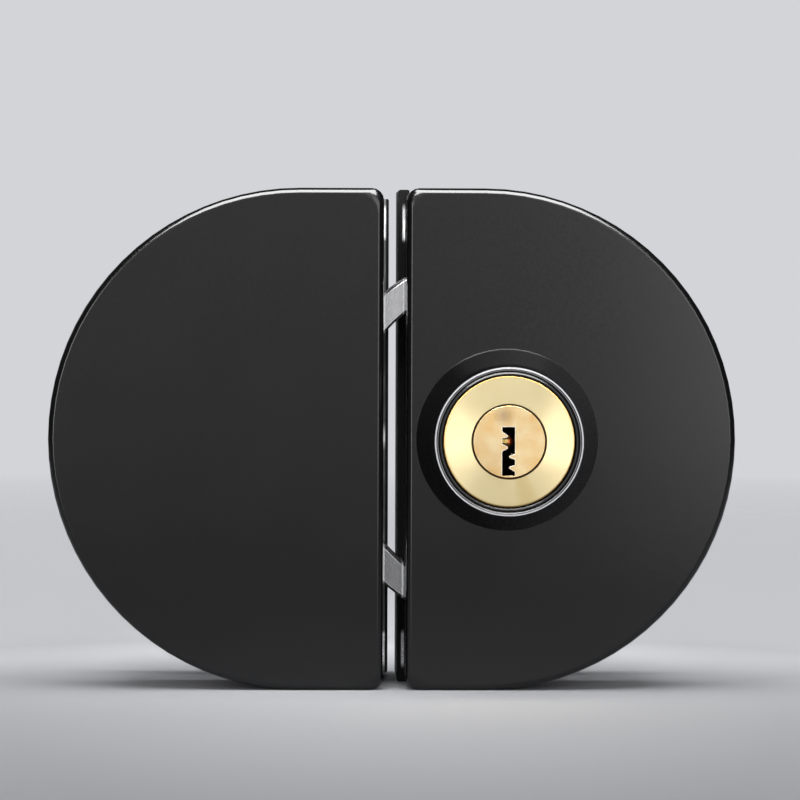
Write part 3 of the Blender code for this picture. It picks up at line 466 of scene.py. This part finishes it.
def brushed_steel():
    """Satin steel: painted shade darkens it below, rub wear and a painted highlight lighten its edges, and
    painted glints lie where it enters the slots.
    """
    material, tree, shader = new_material("satin_steel")
    place = own_place(tree)
    fine = noise(tree, stretched(tree, (1, 1, 0.12)), 0.12 * MM, 3)
    cloud = noise(tree, place, 6 * MM, 2)
    across, _, up = axes_of(tree, place)
    # Painted glints: bright lines where the bars enter the slots.
    strike_slot_glint = line_mask(tree, across, STRIKE_SLOT_GLINT, 0.16 * MM)
    lock_slot_glint = line_mask(tree, across, LOCK_SLOT_GLINT, 0.16 * MM)
    slot_glints = product(tree, larger(tree, strike_slot_glint, lock_slot_glint), 0.8)
    rub_and_glint = larger(tree, edge_mask(tree, 0.32 * MM), slot_glints)

    tone = mottle(tree, cloud, (0.4, 0.4, 0.41), (0.47, 0.47, 0.48))
    # Painted shade: darker below 42 to 48 mm up, on the lower bar.
    tone = blend_colours(tree, fall(tree, up, 42 * MM, 48 * MM), tone, (0.26, 0.26, 0.27))
    # Lighter along its edges, from rub wear and a painted highlight, and painted glints at the slots.
    tone = blend_colours(tree, rub_and_glint, tone, (0.95, 0.95, 0.96))
    finish(tree, shader, tone, spread(tree, fine, 0.2, 0.28), bump(tree, fine, 1.5 * UM))
    feed(tree, spread(tree, rub_and_glint, 1, 0.3, 0, 1), shader.inputs["Metallic"])
    return material


def zinc():
    """Die-cast zinc alloy: dull, slightly mottled and pitted."""
    material, tree, shader = new_material("cast_zinc")
    place = own_place(tree)
    patches = noise(tree, place, 2.5 * MM, 4)
    pits = noise(tree, place, 0.3 * MM, 2)
    tone = mottle(tree, patches, (0.38, 0.38, 0.4), (0.52, 0.52, 0.53))
    finish(tree, shader, tone, spread(tree, patches, 0.48, 0.62), bump(tree, pits, 8 * UM))
    shader.inputs["Metallic"].default_value = 1
    return material


# Pieces

def smoothing_group():
    """Geometry nodes that join the frame's loose triangles and shade them smooth by angle."""
    group = bpy.data.node_groups.new("smooth_frame", "GeometryNodeTree")
    group.interface.new_socket("Geometry", in_out="INPUT", socket_type="NodeSocketGeometry")
    group.interface.new_socket("Geometry", in_out="OUTPUT", socket_type="NodeSocketGeometry")
    start = node(group, "NodeGroupInput")
    end = node(group, "NodeGroupOutput")
    remove = node(group, "GeometryNodeRemoveAttribute")
    remove.inputs["Name"].default_value = "custom_normal"
    merge = node(group, "GeometryNodeMergeByDistance")
    merge.inputs["Distance"].default_value = WELD_DISTANCE
    faces = node(group, "GeometryNodeSetShadeSmooth", domain="FACE")
    faces.inputs["Shade Smooth"].default_value = True
    edges = node(group, "GeometryNodeSetShadeSmooth", domain="EDGE")
    edges.inputs["Shade Smooth"].default_value = False
    angle = node(group, "GeometryNodeInputMeshEdgeAngle")
    sharp = node(group, "FunctionNodeCompare", data_type="FLOAT", operation="GREATER_THAN")
    sharp.inputs["B"].default_value = SHARP_ANGLE
    feed(group, start.outputs[0], remove.inputs["Geometry"])
    feed(group, remove.outputs["Geometry"], merge.inputs["Geometry"])
    feed(group, merge.outputs["Geometry"], faces.inputs["Geometry"])
    feed(group, faces.outputs["Geometry"], edges.inputs["Geometry"])
    feed(group, angle.outputs["Unsigned Angle"], sharp.inputs["A"])
    feed(group, sharp.outputs["Result"], edges.inputs["Selection"])
    feed(group, edges.outputs["Geometry"], end.inputs[0])
    return group


def refine(obj, group, edge):
    """Smooth shading, and edges broken by a small bevel where edge isn't 0."""
    smooth = obj.modifiers.new("smooth", "NODES")
    smooth.node_group = group
    flat = obj.modifiers.new("flat", "DECIMATE")
    flat.decimate_type = "DISSOLVE"
    flat.angle_limit = FLAT_ANGLE
    if edge:
        bevel = obj.modifiers.new("edge", "BEVEL")
        bevel.width = edge
        bevel.segments = 3
        bevel.limit_method = "ANGLE"
        bevel.angle_limit = BEVEL_ANGLE
        bevel.use_clamp_overlap = True
        bevel.harden_normals = True
    weighted = obj.modifiers.new("weighted", "WEIGHTED_NORMAL")
    weighted.keep_sharp = True
    weighted.weight = 80


def dress_nodes():
    """Gives each CAD node its finish and the width of its fine edges, by its slot or its name."""
    by_slot = {
        "satin_black": (satin_black(), 0.12 * MM),
        "gloss_black": (gloss_black(), 0),
        "brass": (turned_brass(), 0),
        "plug_brass": (milled_brass(), 0.03 * MM),
        "brushed_steel": (brushed_steel(), 0.08 * MM),
        "black_steel": (black_steel(), 0.08 * MM),
        "zinc": (zinc(), 0.2 * MM),
        "rubber": (rubber(), 0.12 * MM),
    }
    by_name = {"key_pin": (pin_brass(), 0), "bracket": (cast_black(), 0.12 * MM)}
    group = smoothing_group()
    slots = {part["node"]: part["material_slot"] for part in frame["record"]["subparts"]}
    for name, obj in NODES.items():
        own = [made for key, made in by_name.items() if key in name]
        material, edge = own[0] if own else by_slot[slots[name]]
        obj.data.materials.clear()
        obj.data.materials.append(material)
        refine(obj, group, edge)


# Studio

def floor_colour(tree, position):
    """Painted light and shade: darker towards the front, dimmer away from the middle as a painted pool of
    light, and lifted under and behind the object against its shadow.
    """
    _, depth, _ = axes_of(tree, position)
    # Painted shade: the floor darkens towards the front.
    tone = blend_colours(tree, rise(tree, depth, -0.3, 0.05), FLOOR_FRONT_SHADE, FLOOR_PALE)
    off_centre = vector_maths(tree, "LENGTH", vector_maths(tree, "MULTIPLY", position, (1, 0.28, 0)))
    behind = vector_maths(tree, "MULTIPLY_ADD", position, (1, 1.6, 0), (0, -0.07, 0))
    # Painted light: a pool of light round the middle, and a lifted patch under and behind the object that
    # pales its shadow.
    painted_light_falloff = spread(tree, off_centre, 1, 0.765, 0, 0.067)
    painted_lift = spread(tree, vector_maths(tree, "LENGTH", behind), 1.28, 1, 0.055, 0.09)
    shade = node(tree, "ShaderNodeVectorMath", operation="SCALE")
    feed(tree, tone, shade.inputs[0])
    feed(tree, product(tree, painted_light_falloff, painted_lift), shade.inputs["Scale"])
    return shade.outputs["Vector"]


def floor_material():
    """Pale paper that melts into the background all round."""
    material, tree, shader = new_material("studio_floor")
    tree.nodes.remove(shader)
    position = node(tree, "ShaderNodeNewGeometry").outputs["Position"]
    diffuse = node(tree, "ShaderNodeBsdfDiffuse")
    feed(tree, floor_colour(tree, position), diffuse.inputs["Color"])
    clear = node(tree, "ShaderNodeBsdfTransparent")
    mix = node(tree, "ShaderNodeMixShader")
    feed(tree, rise(tree, vector_maths(tree, "LENGTH", position), *FLOOR_FADE), mix.inputs["Fac"])
    feed(tree, diffuse.outputs["BSDF"], mix.inputs[1])
    feed(tree, clear.outputs["BSDF"], mix.inputs[2])
    feed(tree, mix.outputs["Shader"], tree.nodes["Material Output"].inputs["Surface"])
    return material


def make_floor():
    mesh = bpy.data.meshes.new("floor")
    corners = [(x * FLOOR_REACH, y * FLOOR_REACH, 0) for x, y in ((-1, -1), (1, -1), (1, 1), (-1, 1))]
    mesh.from_pydata(corners, [], [(0, 1, 2, 3)])
    floor = bpy.data.objects.new("floor", mesh)
    bpy.context.scene.collection.objects.link(floor)
    mesh.materials.append(floor_material())


def make_world():
    """A dim room. The camera sees a pale backdrop on every side, and gloss sees it behind the object."""
    world = bpy.data.worlds.new("studio")
    bpy.context.scene.world = world
    world.use_nodes = True
    tree = world.node_tree
    ray = node(tree, "ShaderNodeLightPath").outputs
    _, backwards, _ = axes_of(tree, node(tree, "ShaderNodeTexCoord").outputs["Generated"])
    mirrored = larger(tree, ray["Is Glossy Ray"], ray["Is Transmission Ray"])
    behind = rise(tree, backwards, *BACKDROP_EDGE)
    seen = larger(tree, ray["Is Camera Ray"], product(tree, mirrored, behind))
    room = blend_colours(tree, ray["Is Diffuse Ray"], ROOM_IN_GLOSS, ROOM_FILL)
    feed(tree, blend_colours(tree, seen, room, BACKGROUND), tree.nodes["Background"].inputs["Color"])


def softbox(name, place, target, size, radiance, lights="both"):
    """A soft lamp of that radiance, which the camera doesn't see. It lights gloss, matt or both."""
    width, height = size
    light = bpy.data.lights.new(name, "AREA")
    light.shape = "RECTANGLE"
    light.size = width
    light.size_y = height
    light.energy = radiance * math.pi * width * height
    lamp = bpy.data.objects.new(name, light)
    lamp.location = place
    lamp.rotation_euler = (Vector(target) - Vector(place)).to_track_quat("-Z", "Y").to_euler()
    lamp.visible_camera = False
    lamp.visible_diffuse = lights != "gloss"
    lamp.visible_glossy = lights != "matt"
    bpy.context.scene.collection.objects.link(lamp)


def make_lights():
    """Lamps above, in front and behind. The brightest, overhead, is seen only in gloss."""
    softbox("overhead", (0, -0.2, 0.9), LAMP_TARGET, (0.9, 0.9), 2.6, "matt")
    softbox("overhead_card", (0, -0.49, 0.8), LAMP_TARGET, (0.9, 0.86), 24, "gloss")
    softbox("front_low", (0, -1.3, 0), LAMP_TARGET, (1.5, 1.4), 0.56)
    softbox("front_high", (0, -1.25, 0.44), LAMP_TARGET, (1.2, 0.7), 0.3)
    softbox("right_card", (0.41, -1.25, 0.23), (0.41, 0, 0.23), (0.48, 0.54), 2.5)
    softbox("left_card", (-0.45, -1.17, 0.12), LAMP_TARGET, (0.2, 0.42), 6.3)
    softbox("left_back", (-0.68, 0.63, 0.43), LAMP_TARGET, (0.4, 0.3), 0.6)
    softbox("back_fill", (0, 0.8, 0.8), LAMP_TARGET, (0.7, 0.5), 1.2, "matt")


def make_camera():
    camera = bpy.data.cameras.new("camera")
    camera.lens = CAMERA_LENS
    camera.sensor_width = 36
    camera.clip_start = 0.01
    camera.clip_end = 30
    obj = bpy.data.objects.new("camera", camera)
    obj.location = CAMERA_PLACE
    aim = (Vector(CAMERA_TARGET) - Vector(CAMERA_PLACE)).to_track_quat("-Z", "Y")
    obj.rotation_euler = (aim @ Quaternion((0, 0, 1), math.radians(CAMERA_ROLL))).to_euler()
    bpy.context.scene.collection.objects.link(obj)
    bpy.context.scene.camera = obj


dress_nodes()
make_floor()
make_world()
make_lights()
make_camera()
bpy.context.scene.view_settings.view_transform = "Standard"
